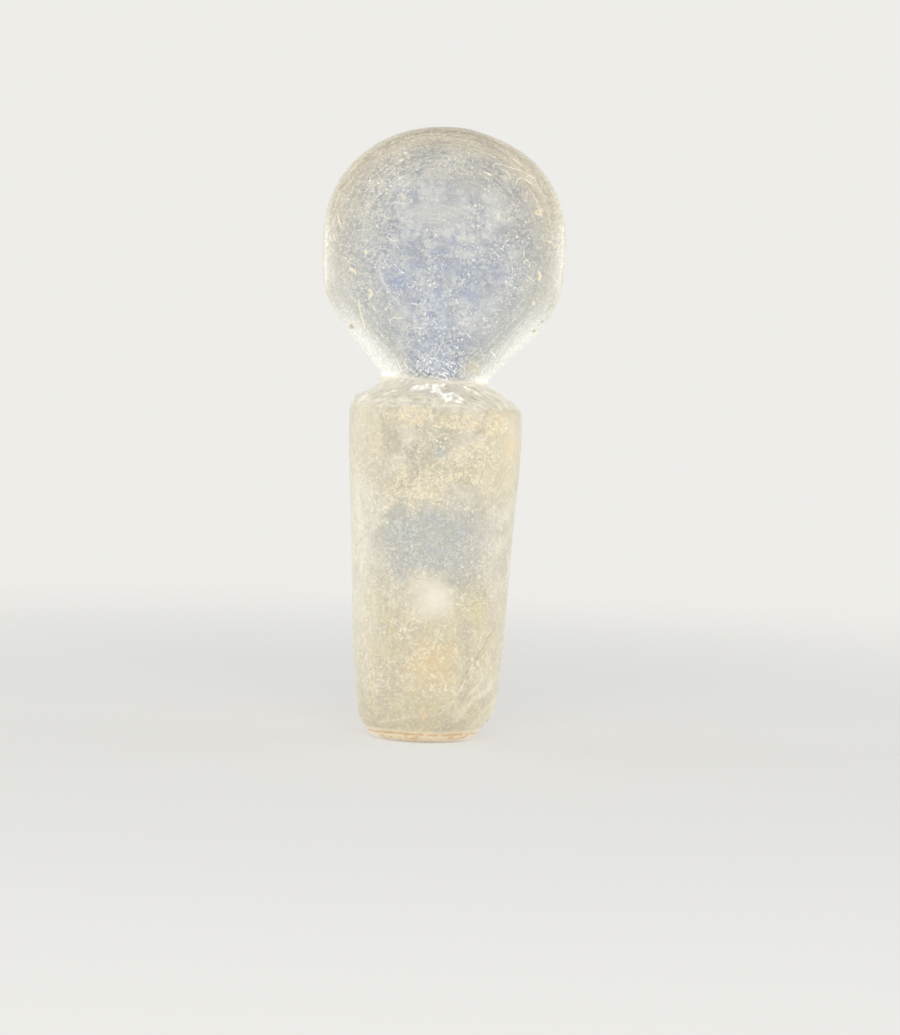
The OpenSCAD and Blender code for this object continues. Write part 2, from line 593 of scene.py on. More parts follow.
torn_edges = [(0.5, cloud(0.25, 2.0, 61.0) - 0.5), (1.3, cloud(0.7, 2.0, 63.0) - 0.5),
              (99.0, cloud(1.7, 2.0, 67.0) - 0.5)]
print("One cloud each tears the edges of patches under",
      [limit for limit, torn in torn_edges], "mm")


# %% Patches
def any_of(masks):
    """The strongest of several masks."""
    total = None
    for mask in masks:
        total = total.most(mask) if total else mask
    return total


def nearness(middle, reaches, turn=0.0):
    """1 at this place, 0.5 on the oval with these reaches round it, 0 from twice as far."""
    cells = laid(place, [2 * length for length in reaches], middle, turn)
    return step(tree, "ShaderNodeTexGradient", {"gradient_type": "SPHERICAL"},
                {"Vector": cells}, 1)


tears = {}  # each tear is made once, for its width and its raggedness


def oval(x, z, wide, tall, ragged=0.0, turn=0.0):
    """Nearness to a place on the front of the skin: over 0.5 inside a torn oval."""
    near = nearness(surface_at(x, z), (wide, max(2 * wide, 1.5), tall), turn)
    if not ragged:
        return near
    limit, torn = next(pair for pair in torn_edges if min(wide, tall) < pair[0])
    if (limit, ragged) not in tears:
        tears[limit, ragged] = torn * (0.5 * ragged)
    return near + tears[limit, ragged]


def patches(*places):
    """Soft torn ovals on the front of the skin: x, z, reaches, raggedness, turn."""
    return any_of(oval(*one) for one in places).rise(0.5, 1.0)


def patch(*one):
    return patches(one)


print("A patch at 0, 40 lies on the skin at", [round(v, 2) for v in surface_at(0, 40)], "mm")


# %% Scratches, and one colour over another
def scratches(*lines):
    """Scratches on the front of the skin: how thick, then the places each one joins."""
    pieces = []
    for thick, *places in lines:
        for (x0, z0), (x1, z1) in zip(places, places[1:]):
            half = math.hypot(x1 - x0, z1 - z0) / 2 + thick
            middle = surface_at((x0 + x1) / 2, (z0 + z1) / 2)
            pieces.append(nearness(middle, (thick, 1.5, half), math.atan2(x1 - x0, z1 - z0)))
    return any_of(pieces).rise(0.5, 0.85)


def arc(x0, z0, x1, z1, x2, z2, thick):
    """A curved scratch on the front of the skin, through three places."""
    first, middle, last = Vector((x0, z0)), Vector((x1, z1)), Vector((x2, z2))
    twice = 2 * ((middle - first).cross(last - first))
    a, b = (middle - first).length_squared, (last - first).length_squared
    centre = first + Vector(((last - first).y * a - (middle - first).y * b,
                             (middle - first).x * b - (last - first).x * a)) / twice
    r = (middle - centre).length
    ring = abs(0.5 - nearness((centre.x, 0, centre.y), (r, 1e6, r))) * (2 * r)
    half = max((middle - first).length, (last - middle).length)
    window = nearness(surface_at(x1, z1), (half, 3, half))
    return ring.rise(thick, 0.3 * thick) * window.rise(0.45, 0.75)


def mix(amount, first, second):
    """first where amount is 0 and second where it is 1."""
    return step(tree, "ShaderNodeMix", {"data_type": "RGBA"}, {0: amount, 6: first, 7: second}, 2)


def count_nodes(what):
    print(what, "done:", len(tree.nodes), "nodes so far")


count_nodes("The torn edges")

# %% [markdown]
# ## Where things are
#
# A finish that differs from place to place has to know where it is. `is_head` parts the
# head from the plug. `edge` is how far a point of the head lies inside the outline, in mm,
# and `across_plug` runs from -1 at the plug's left edge to 1 at its right. `wobble` keeps
# the borders between zones from being straight. `ring_place` bends a pattern: read there,
# its blotches turn into arcs round a middle.

# %% Heights, edges and bearings
x, y, z = axes(place)
wobble = cloud(3.0, 2.0, 5.0) - 0.5
is_head = (z + x * 0.03).rise(neck_z - 0.05, neck_z + 0.25)
lowness = ((wide_z - z) / side_h).most(0.0)
highness = ((z - wide_z) / crown_h).most(0.0)
across = abs(x - head_set)
from_middle = ((across / head_r) ** 2.0 + lowness ** 2.0 + highness ** 2.0) ** 0.5
inside_ring = (1.0 - from_middle) * crown_h
inside_flank = ((z - neck_z) * math.tan(flank_lean) + neck_r - across) * math.cos(flank_lean)
edge = inside_ring.sums("SMOOTH_MIN", inside_ring, inside_flank, 2.0)
head_bearing = x.sums("ARCTAN2", x - head_set, z - wide_z)
axis_bearing = x.sums("ARCTAN2", x, 0.0 - y)
plug_r = z / (2 * taper) + (ground_d - ground_h / taper) / 2
across_plug = x / plug_r


def ring_place(out, around, along=0.0):
    return step(tree, "ShaderNodeCombineXYZ", {}, {"X": out, "Y": around, "Z": along})


count_nodes("Places")

# %% [markdown]
# ## Marks in the skin
#
# Years of rubbing left short nicks lying every way, a few crooked hairs and many dots.
# Round the head they follow its edge, where it was turned in the hand, and on the
# shoulder they run round the stopper's axis.

# %% Nicks, hairs, dots and blotches
nicks = any_of(cloud((0.13, 0.5, 0.42), 0.0, seed, turn).rise(0.69, 0.77)
               for seed, turn in [(9.0, 0.5), (17.0, -0.9), (27.0, 1.6)])
fine = worms(0.42, 0.05, 0.50, 1.0)
bold = worms(0.7, 0.04, 0.62, 29.0)
dots = specks(0.13, 0.36, 0.35, 2.0)
grit = cloud(0.26, 2.0, 21.0)
grains = cloud(0.22, 1.0, 33.0)
curd = cloud(0.62, 2.0, 23.0)
mottle = cloud(2.4, 2.0, 11.0)
deep = cloud(1.7, 2.0, 13.0)
edge_lines = cloud(1.0, 2.0, 3.0, vector=ring_place(edge * 5.5, head_bearing * 3.0, y * 0.25))
edge_nicks = cloud(1.0, 1.0, 6.0, vector=ring_place(edge * 6.0, head_bearing * 16.0, y * 0.25))
axis_rings = cloud(1.0, 2.0, 31.0, vector=ring_place(z * 5.0 + x * x * 0.25, axis_bearing * 7.0))
count_nodes("Marks")

# %% [markdown]
# ## The head's ground colours
#
# The head stays nearest to clear glass: blue-grey in its heart, tan along the crown, and painted
# near-white down the low flanks, a painted highlight where the glass carries light to its edge; rubbing
# left fine lines along that edge. Each line below lays one colour over what is there already, as
# strongly as its mask says.

# %% The heart of the head
CREAM = paint(242, 233, 208)
PALE_MARK = paint(232, 233, 226)
OCHRE_MARK = paint(243, 231, 198)
WHITE = paint(253, 253, 248)

heart = is_head * edge.rise(1.5, 5.0) * z.rise(46.5, 40.0)
# The blue-grey is partly the glass's own tint and partly painted in for the dark that the clear glass
# shows through its middle.
blue = heart * deep.rise(0.44, 0.62) * 0.5
blue = blue.most(patches(
    (-3.4, 39.0, 2.2, 1.8, 1.6), (0.1, 40.3, 2.6, 1.3, 1.6), (-0.8, 37.5, 2.8, 2.4, 1.6),
    (2.6, 38.2, 2.2, 2.2, 1.8), (0.0, 35.3, 1.8, 1.8, 1.4)))
neck_heart = is_head * abs(x + 0.15).rise(3.4, 1.8) * z.rise(36.5, 33.5)
blue = blue.most(neck_heart * (0.3 + deep.rise(0.35, 0.6) * 0.6))
smooth_place = patch(-0.6, 44.9, 3.6, 2.0, 0.8).rise(0.0, 0.6)
head = mix(mottle.rise(0.42, 0.58), paint(157, 161, 166), paint(212, 212, 206))
head = mix(blue, head, paint(164, 174, 199))
curdled = (heart * 0.7).most(neck_heart)
head = mix(curd.rise(0.48, 0.39) * (0.4 + curdled * 0.5), head, paint(156, 161, 180))
head = mix(curd.rise(0.53, 0.61) * (0.4 + curdled * 0.3), head, paint(218, 218, 210))
low_head = is_head * z.rise(40.0, 35.5)
head = mix(low_head * (1.0 - neck_heart) * abs(x).rise(1.0, 5.0) * 0.7, head, paint(208, 211, 208))
head = mix(smooth_place * 0.7, head, paint(190, 190, 183))
blue_spots = patches(
    (-3.7, 46.7, 0.7, 0.6, 1.2), (-0.2, 41.6, 1.5, 0.4, 1.2), (0.9, 42.6, 1.2, 0.4, 1.2, 1.9),
    (-3.5, 38.9, 1.1, 0.9, 1.4), (-1.9, 40.3, 0.9, 0.35, 1.2), (1.6, 39.9, 0.7, 0.5, 1.4),
    (0.0, 34.4, 0.35, 0.35, 0.8), (-2.4, 34.6, 0.35, 0.4, 0.8), (1.3, 33.8, 0.7, 0.6, 1.2))
head = mix(blue_spots * 0.75, head, paint(140, 153, 190))
mauve_spots = patches(
    (4.6, 38.6, 1.5, 1.0, 1.8), (6.0, 43.6, 1.6, 1.2, 1.4), (3.2, 47.0, 1.5, 0.8, 1.6))
head = mix(mauve_spots * 0.5, head, paint(172, 165, 170))
head = mix(patch(6.0, 45.2, 2.6, 2.6, 1.4) * 0.5, head, paint(184, 177, 172))
head = mix(patch(2.0, 48.0, 4.6, 1.8, 1.4) * 0.8, head, paint(178, 173, 164))
count_nodes("The heart")

# %% The crown
rim = edge.rise(3.2, 0.4)
head = mix(rim * 0.8, head, paint(212, 203, 180))
sides = edge.rise(6.0, 2.0) * z.rise(47.0, 43.0) * z.rise(34.0, 37.0)
head = mix(sides * 0.5, head, paint(212, 209, 199))
crown_edge = (edge + wobble + x.rise(2.0, -6.0) * 0.9).rise(3.0, 0.9) * z.rise(41.5, 46.5)
head = mix(crown_edge * 0.85, head, paint(226, 211, 185))
turned = z.rise(42.0, 45.0) * edge.rise(5.5, 3.5) * 0.5
head = mix(crown_edge.most(turned) * edge_lines.rise(0.51, 0.57) * 0.8, head, paint(248, 237, 208))
head = mix(crown_edge.most(turned) * edge_lines.rise(0.45, 0.38) * 0.7, head, paint(184, 174, 158))
head = mix(rim.most(turned) * edge_nicks.rise(0.56, 0.64) * 0.8, head, CREAM)
head = mix(rim * edge_nicks.rise(0.43, 0.32) * 0.4, head, paint(165, 158, 145))
count_nodes("The crown")

# %% The flanks
smooth_flank = edge.rise(2.2, 1.0) * z.rise(42.5, 40.5) * abs(x).rise(4.0, 6.0)
head = mix(smooth_flank * 0.7, head, paint(220, 214, 198))
# Painted highlight: the low flanks are painted near-white for the light the glass carries to its edge
# there.
flank_highlight = (edge + wobble * 0.6).rise(2.3, 0.3) * z.rise(39.5, 34.0)
head = mix(flank_highlight, head, paint(255, 254, 245))
flank_lines = edge.rise(4.5, 2.0) * edge.rise(0.2, 0.8) * z.rise(42.0, 38.0)
head = mix(flank_lines * edge_lines.rise(0.52, 0.62) * 0.6, head, paint(244, 245, 240))
head = mix(flank_lines * edge_lines.rise(0.46, 0.36) * 0.2, head, paint(184, 186, 184))
# Painted highlight: a thin near-white line along the outline, where the glass's edge catches the light.
head = mix(edge.rise(0.5, 0.1) * (1.0 - flank_highlight) * 0.8, head, paint(250, 240, 214))
count_nodes("The flanks")

# %% Earth in the pinch, hatching, and sweeps across the jaw's flat
neck_earth = patch(2.9, 32.1, 1.1, 1.0, 1.5)
head = mix(neck_earth * 0.8, head, paint(222, 212, 186))
hatch = cloud((0.22, 1.0, 2.2), 1.0, 7.0, 0.95).rise(0.45, 0.58)
head = mix(hatch * patch(6.2, 43.9, 2.2, 1.6, 1.0).rise(0.0, 0.6) * 0.6, head, paint(148, 142, 142))
from_sweep = ((x + 0.9) ** 2.0 + (z - 39.5) ** 2.0) ** 0.5
sweep = cloud(1.0, 1.0, 43.0, vector=ring_place(from_sweep * 5.0, x * 0.35))
head = mix(sweep.rise(0.52, 0.62) * smooth_place * 0.6, head, paint(222, 221, 210))
head = mix(sweep.rise(0.47, 0.38) * smooth_place * 0.35, head, paint(170, 170, 166))
count_nodes("Head ground")

# %% [markdown]
# ## The plug's ground colours
#
# The plug is ground glass, which scatters light like snow: grey-cream all over, clearest a little above
# its middle and warmer low down. Down the left edge it is painted lighter, a painted sheen where the
# frosted glass is seen edge-on, and it is painted palest at the foot, as painted light on the rounding
# that faces down.

# %% The upper plug and its clear zone
upper = (z + wobble * 6.0).rise(18.8, 23.2)
plug = mix(mottle.rise(0.38, 0.62), paint(199, 192, 170), paint(227, 218, 198))
plug = mix(deep.rise(0.46, 0.36) * 0.3, plug, paint(190, 184, 166))
plug = mix(deep.rise(0.55, 0.65) * 0.4, plug, paint(234, 226, 206))
# Painted sheen: the left edge is painted lighter where the frosted glass is seen edge-on.
left_edge_light = (across_plug + wobble * 0.3).rise(-0.35, -0.85)
plug = mix(left_edge_light * upper * 0.8, plug, paint(214, 204, 174))
right_straw = (across_plug + wobble * 0.3).rise(0.35, 0.8) * upper
plug = mix(right_straw * 0.8, plug, paint(212, 200, 164))
clear_zone = (z + wobble * 4.0).rise(22.0, 18.8) * (z + wobble * 4.0).rise(12.5, 16.5)
clear_zone = clear_zone * abs(across_plug + wobble * 0.4).rise(1.0, 0.3)
plug = mix(clear_zone, plug, paint(196, 195, 187))
plug = mix(curd.rise(0.47, 0.36) * 0.25, plug, paint(180, 176, 164))
cool_spots = patches(
    (-2.0, 18.1, 0.9, 0.8, 1.2), (0.1, 19.2, 0.8, 0.7, 1.2), (2.4, 18.0, 0.8, 0.9, 1.2),
    (-2.4, 14.2, 0.8, 0.6, 1.2), (0.3, 16.6, 1.4, 0.4, 1.4), (0.5, 24.9, 0.8, 1.0, 1.2))
plug = mix(cool_spots * 0.6, plug, paint(184, 190, 195))
count_nodes("The upper plug")

# %% The lower plug and the foot
# Painted light: the foot is painted pale because its downturned rounding gets little light.
painted_foot_light = (1.3, 0.6)  # the foot turns pale between these two heights
low_zone = (z + wobble * 6.0).rise(14.8, 10.7)
plug = mix(low_zone * 0.8, plug, paint(219, 209, 177))
plug = mix(low_zone * deep.rise(0.46, 0.60) * 0.6, plug, paint(202, 193, 177))
straw_spots = patches(
    (-4.5, 11.9, 0.7, 1.5, 1.6), (-3.9, 10.6, 1.5, 1.0, 1.8), (3.9, 11.5, 1.6, 1.4, 1.8))
plug = mix(straw_spots * 0.7, plug, paint(224, 212, 172))
halo = patch(0.3, 6.8, 3.6, 4.2, 1.2)
plug = mix(halo * 0.9, plug, paint(232, 210, 168))
warm_streak = patch(-0.2, 2.6, 0.8, 1.9, 0.8)
plug = mix(warm_streak * 0.8, plug, paint(232, 210, 172))
diagonal = cloud((0.8, 3.0, 3.2), 1.0, 45.0, 0.8).rise(0.44, 0.62)
diagonal = diagonal * patch(4.6, 3.4, 3.4, 4.4).rise(0.0, 0.5)
plug = mix(diagonal * 0.8, plug, paint(238, 229, 204))
haze = cloud((0.7, 0.9, 4.0), 1.0, 41.0, 0.25).rise(0.44, 0.62)
# More painted sheen down the left edge, broken up by the haze pattern.
left_edge_sheen = (across_plug + wobble * 0.2).rise(-0.4, -0.95) * z.rise(25.0, 21.0) * z.rise(5.0, 11.0)
plug = mix(left_edge_sheen * (0.5 + haze * 0.5), plug, paint(229, 222, 203))
# Painted highlight: a soft bright spot where light gathers in the glass, brighter in its middle.
glow = patch(0.35, 12.4, 3.2, 3.3, 0.5)
plug = mix(glow.rise(0.0, 1.0) * 0.8, plug, paint(228, 221, 202))
plug = mix(patch(0.7, 12.5, 2.0, 2.0, 0.7) * 0.6, plug, paint(238, 232, 216))
# Painted light on the foot's rounding, which faces down and would otherwise render dark.
plug = mix(z.rise(*painted_foot_light), plug, paint(246, 231, 202))
count_nodes("Plug ground")

# %% [markdown]
# ## The shoulder
#
# The shoulder's slope was never ground. Fine rings run round it, dark and light, and where the maker's
# tool dragged the soft glass it left a white smear in front, whose pure white is partly a painted
# highlight. Here the head and the plug are also joined, with a pale line in the crease between them.

# %% The shoulder's slope and the crease
slope = z.rise(28.3, 28.9)
plug = mix(slope * 0.8, plug, paint(238, 232, 216))
plug = mix(slope * axis_rings.rise(0.50, 0.36) * 0.5, plug, paint(184, 175, 162))
plug = mix(slope * axis_rings.rise(0.52, 0.62) * 0.9, plug, paint(250, 244, 226))
skin = mix(is_head, plug, head)
crease = abs(z + x * 0.035 - 30.9 + wobble * 0.3).rise(0.35, 0.08)
skin = mix(crease * 0.7, skin, paint(248, 242, 226))
count_nodes("The shoulder")

# %% [markdown]
# ## Earth, nicks and grains
#
# Ochre earth sits in patches where the rough glass held it: under the shoulder, and in a
# slanting drift across the upper plug. Its grains and hairs are straw coloured there, and
# nearly white elsewhere. The head's upper middle and the plug's sides stay calm.

# %% Earth
drift = patch(2.4, 23.6, 2.4, 6.4, 1.3, 1.1).most(patch(-1.6, 21.5, 2.1, 4.6, 2.0, 1.45))
drift = drift.rise(0.0, 0.5)
under = patches(
    (-1.7, 27.7, 3.6, 1.2, 1.3), (2.2, 27.4, 3.4, 1.1, 1.3), (5.0, 26.9, 2.4, 1.6, 1.3))
under = under.rise(0.0, 0.8)
side_earth = patch(6.4, 25.0, 1.0, 2.2, 1.2).most(patch(-4.55, 25.4, 0.3, 1.3, 1.8))
earth = any_of([drift, under * 0.9, side_earth * 0.6, neck_earth]).least(1.0)
skin = mix(under.most(side_earth) * (0.25 + curd.rise(0.4, 0.6) * 0.4), skin, paint(230, 210, 170))
skin = mix(drift * (0.1 + curd.rise(0.45, 0.6) * 0.3), skin, paint(218, 204, 172))
count_nodes("Earth")

# %% Where marks are straw coloured, and where few show
cool = any_of([heart, neck_heart, low_head * 0.8, clear_zone * (1.0 - is_head) * 0.8])
light_mark = mix(cool, CREAM, PALE_MARK)
light_mark = mix(earth, light_mark, OCHRE_MARK)
low_sides = low_head * abs(x).rise(1.8, 3.0)
calm_head = is_head * any_of([
    crown_edge * 0.6, flank_highlight, low_sides * 0.4, smooth_flank, smooth_place * 0.8,
    patch(0.6, 47.6, 5.0, 1.4, 0.8) * 0.6])
calm_plug = (1.0 - is_head) * abs(across_plug).rise(0.55, 0.95).most(z.rise(5.5, 3.5) * 0.8)
calm = calm_head.most(calm_plug)
turned_place = is_head * edge.rise(5.5, 3.5) * edge.rise(0.8, 2.0)
busy = (cloud(1.8, 1.0, 25.0).rise(0.40, 0.60) + neck_heart * 0.3 + turned_place * 0.3) * (1.0 - calm)
rough = (1.0 - calm_head * 0.85) * (1.0 - glow * 0.5) * (1.0 - clear_zone * 0.25)
lower = z.rise(47.0, 39.0).most(0.35)
count_nodes("Calm and busy places")

# %% Grit, grains, nicks, hairs and dots
skin = mix(grit.rise(0.46, 0.34) * (0.12 + is_head * (0.18 + busy * 0.4) * lower) * rough, skin,
           mix(is_head, paint(174, 168, 156), paint(146, 149, 158)))
gritty = 0.10 + is_head * 0.15 + busy * (0.15 + is_head * 0.3)
skin = mix(grit.rise(0.54, 0.66) * gritty * rough, skin, light_mark)
skin = mix(grains.rise(0.55, 0.61) * curd.rise(0.38, 0.50) * (0.1 + earth * 0.75), skin, light_mark)
skin = mix(grains.rise(0.46, 0.38) * earth * 0.4, skin, paint(186, 176, 158))
nicked = nicks * (0.12 + busy * (0.38 + is_head * 0.35)) * lower
skin = mix(nicked * rough, skin, light_mark)
skin = mix(fine * (0.2 + busy * 0.5 + earth * 0.2) * rough, skin, light_mark)
skin = mix(bold * (0.1 + busy * 0.4) * rough, skin, light_mark)
skin = mix(dots * (0.35 + busy * 0.6) * rough, skin, mix(earth.most(1.0 - is_head), WHITE, CREAM))
count_nodes("Fine marks")

# %% [markdown]
# ## Marks that stand in one place
#
# These are the marks that someone who knows this stopper would look for: the scratches on
# the head, the white smear at the neck, the ochre spots, and the brown line of earth that
# dried round its foot. A scratch is told its thickness and the places it joins.

# %% The white smear and the flecks above it
smear = scratches(
    (0.13, (-4.54, 29.41), (-3.93, 29.69), (-3.23, 29.92)), (0.26, (-2.2, 29.84), (-1.49, 30.33)),
    (0.28, (-1.54, 29.92), (-0.72, 30.45)), (0.28, (-0.66, 30.17), (0.03, 30.38)),
    (0.28, (-0.5, 29.85), (0.25, 30.11)), (0.20, (0.2, 30.3), (0.65, 30.5)),
    (0.26, (0.0, 29.93), (0.53, 29.6)), (0.30, (0.46, 29.44), (1.12, 29.68)),
    (0.26, (0.78, 29.16), (1.39, 29.48)), (0.18, (1.54, 29.63), (2.25, 29.25)),
    (0.16, (1.63, 29.12), (2.13, 29.09)), (0.16, (0.99, 29.85), (1.62, 29.63)),
    (0.16, (2.22, 30.46), (2.86, 30.01)), (0.16, (3.02, 30.02), (3.81, 29.58)),
    (0.10, (3.81, 30.04), (4.6, 29.76)), (0.12, (-6.5, 28.96), (-5.75, 29.46)))
smear = smear * cloud(0.3, 2.0, 71.0).rise(0.41, 0.48)
flecks = patch(0.1, 31.8, 2.5, 1.5, 1.4).rise(0.05, 0.5)
flecks = flecks * any_of(cloud((0.18, 0.5, 0.6), 1.0, seed, turn).rise(0.62, 0.69)
                         for seed, turn in [(81.0, 0.5), (87.0, -0.9), (91.0, 1.8)])
skin = mix(flecks * 0.85, skin, paint(240, 241, 236))
# The smear is painted near white: partly its own white and partly a painted highlight where it catches
# the lamps.
skin = mix(smear, skin, mix(abs(x).rise(2.0, 3.0), paint(255, 255, 250), CREAM))
count_nodes("The smear")

# %% Bright and cream scratches
bright = scratches(
    (0.06, (4.0, 48.99), (4.29, 49.31), (4.91, 49.19), (6.68, 48.71), (7.85, 48.05)),
    (0.09, (3.39, 48.53), (4.02, 48.25)),
    (0.06, (6.09, 47.63), (6.18, 48.05), (6.59, 48.18), (7.44, 47.71)),
    (0.06, (-5.68, 43.86), (-5.28, 43.36)), (0.08, (-3.82, 42.04), (-3.60, 41.79)),
    (0.06, (-4.57, 42.70), (-4.09, 42.37)), (0.05, (-3.98, 40.50), (-2.92, 39.43)),
    (0.06, (-2.63, 37.31), (-1.60, 37.04)), (0.06, (1.34, 37.75), (1.56, 37.35)),
    (0.07, (2.36, 34.93), (2.68, 34.53)), (0.08, (4.37, 33.48), (4.91, 32.99)),
    (0.07, (3.72, 36.35), (3.86, 35.92)), (0.05, (0.44, 48.01), (0.86, 47.81)),
    (0.10, (4.1, 7.3), (3.4, 5.9), (2.7, 4.4)))
skin = mix(bright * 0.6, skin, paint(250, 246, 234))
cream_marks = any_of([
    scratches(
        (0.10, (-8.95, 44.59), (-8.60, 43.38)), (0.09, (-9.23, 42.95), (-9.12, 42.26)),
        (0.06, (-5.73, 36.96), (-5.38, 36.46)), (0.06, (-4.07, 35.91), (-2.80, 35.99)),
        (0.05, (-4.16, 35.90), (-4.14, 35.48)), (0.06, (1.07, 36.62), (1.31, 37.04)),
        (0.06, (-3.60, 32.68), (-2.93, 31.27)), (0.05, (-2.97, 32.49), (-2.43, 31.60)),
        (0.07, (6.98, 42.11), (7.00, 41.43), (7.50, 41.02), (7.43, 40.59)),
        (0.08, (7.28, 39.95), (7.95, 39.42)), (0.05, (8.73, 44.08), (9.19, 43.60)),
        (0.07, (5.62, 49.92), (6.67, 49.14)), (0.06, (-5.57, 49.62), (-5.43, 50.05))),
    arc(-6.87, 37.26, -6.66, 36.17, -6.20, 34.88, 0.07),
    arc(4.82, 48.81, 5.35, 48.52, 5.51, 48.22, 0.06),
    patches(
        (-3.70, 49.28, 0.3, 0.16, 0.6), (5.54, 39.31, 0.2, 0.22, 0.4),
        (-4.53, 36.65, 0.16, 0.2, 0.4)),
    patch(5.15, 48.10, 0.34, 0.38, 0.4) * 0.4, patch(9.12, 42.90, 0.3, 0.15, 0.6) * 0.8,
    patch(4.68, 44.85, 0.22, 0.65, 0.4) * 0.6])
skin = mix(cream_marks * 0.8, skin, paint(240, 229, 198))
count_nodes("Bright and cream scratches")

# %% Faint and dark scratches, and the gouge's painted shadow
faint = any_of([
    scratches(
        (0.05, (-3.55, 42.65), (-5.22, 41.66), (-6.20, 42.25), (-7.15, 42.89)),
        (0.05, (-5.09, 44.13), (-4.99, 42.34)), (0.05, (-5.22, 41.66), (-5.08, 40.04)),
        (0.05, (-5.84, 48.77), (-4.84, 49.52)),
        (0.09, (-4.26, 20.16), (-4.74, 18.93), (-5.17, 17.70))),
    arc(-6.57, 48.76, -4.45, 49.95, -2.21, 50.70, 0.07),
    arc(-5.29, 41.23, -4.80, 38.95, -3.53, 37.36, 0.06),
    arc(5.42, 42.32, 5.98, 40.81, 5.96, 39.2, 0.05), arc(8.33, 40.3, 8.23, 38.75, 7.4, 37.0, 0.06),
    arc(7.9, 40.0, 7.75, 38.6, 6.9, 36.9, 0.05), arc(7.4, 39.6, 7.2, 38.5, 6.4, 37.1, 0.05),
    arc(-4.49, 45.26, -3.91, 45.71, -3.13, 45.22, 0.07),
    arc(-5.3, 17.9, -5.7, 16.0, -5.9, 14.2, 0.12) * 0.8,
    arc(-5.1, 7.4, -5.5, 6.1, -4.7, 4.0, 0.12) * 0.5, arc(-4.7, 3.8, -3.4, 3.35, -1.8, 3.7, 0.10) * 0.5,
    arc(-4.4, 1.6, -2.6, 2.0, -0.9, 2.5, 0.12) * 0.8, arc(0.2, 2.4, 1.8, 3.2, 2.6, 4.4, 0.10) * 0.8])
skin = mix(faint * 0.65, skin, paint(240, 235, 218))
dark = any_of([
    scratches((0.05, (-0.97, 36.65), (-0.46, 36.57))),
    # Painted shadow: a dark line down the gouge, where the groove is in shade.
    scratches((0.10, (5.4, 9.9), (4.6, 8.3), (3.9, 6.9))) * 0.35,
    arc(2.65, 46.10, 5.6, 45.05, 7.88, 43.69, 0.07), arc(-3.0, 45.9, 0.0, 46.5, 3.2, 45.9, 0.05),
    arc(5.2, 42.2, 5.75, 40.8, 5.7, 39.2, 0.07), patches((8.18, 44.68, 0.25, 0.2, 0.4))])
skin = mix(dark * 0.5, skin, paint(140, 136, 134))
count_nodes("Faint and dark scratches")

# %% Ochre spots, stains and pits
ochre_spots = any_of([
    arc(-7.73, 39.98, -7.40, 39.85, -7.16, 39.48, 0.16),
    arc(-6.12, 38.35, -5.81, 37.98, -5.93, 37.59, 0.14),
    arc(8.13, 40.33, 8.44, 39.96, 8.37, 39.70, 0.14),
    patches(
        (-6.41, 41.41, 0.22, 0.26, 0.4), (0.67, 28.84, 0.2, 0.2, 0.3), (-1.3, 29.35, 0.6, 0.2, 1.2),
        (8.08, 45.29, 0.45, 0.4, 0.4), (2.96, 20.25, 0.28, 0.2, 0.8), (4.29, 7.09, 0.22, 0.25, 0.6),
        (7.93, 37.63, 0.2, 0.25, 0.6)),
    patch(2.4, 8.05, 0.3, 0.3, 1.2) * 0.7])
skin = mix(ochre_spots * 0.85, skin, paint(241, 225, 187))
stain = patches(
    (0.38, 7.3, 0.4, 1.1, 1.0), (2.35, 8.0, 0.2, 0.2, 0.6), (-3.0, 9.78, 0.6, 0.22, 1.2),
    (-5.95, 37.98, 0.12, 0.2, 0.3), (6.6, 25.3, 0.8, 0.9, 1.8), (1.06, 13.47, 0.25, 0.2, 0.5))
skin = mix(stain * 0.7, skin, paint(230, 200, 152))
pits = patches(
    (-7.5, 35.15, 0.7, 0.5, 1.6), (8.80, 36.14, 0.24, 0.36, 0.8, 0.6), (8.1, 35.3, 0.3, 0.22, 1.6),
    (0.0, 10.5, 0.13, 0.14, 0.5), (8.05, 45.33, 0.15, 0.13, 0.3),
    (-6.4, 16.6, 0.11, 0.2, 0.5, 0.4), (-5.5, 21.9, 0.2, 0.12, 0.8), (3.42, 6.3, 0.20, 0.42, 0.8, 0.5),
    (3.0, 5.35, 0.15, 0.3, 0.8, 0.5))
skin = mix(pits * 0.8, skin, paint(172, 142, 92))
count_nodes("Spots, stains and pits")

# %% The line of earth round the foot
foot_height = z + wobble * 0.5 + (grit - 0.5) * 0.25
foot_line = abs(foot_height - 0.78).rise(0.17, 0.03) * cloud(0.9, 2.0, 51.0).rise(0.32, 0.46)
foot_stain = z.rise(0.85, 0.6) * cloud((0.9, 0.9, 0.35), 2.0, 53.0).rise(0.50, 0.58)
foot_stain = foot_stain * z.rise(0.1, 0.4)
skin = mix(foot_line.most(foot_stain * 0.7) * 0.75, skin, paint(212, 168, 120))
count_nodes("Marks that stand in one place")

# %% [markdown]
# ## The finish
#
# Two materials share the surface: clear glass, and the pale skin that wear and earth laid
# on it. The masks above say how much of each a place shows. The plug was ground, so it is
# mostly skin; the head lets more light through. The low flanks carry light up from the
# shoulder, and the white smear passes it on, which a faint glow stands in for on both.

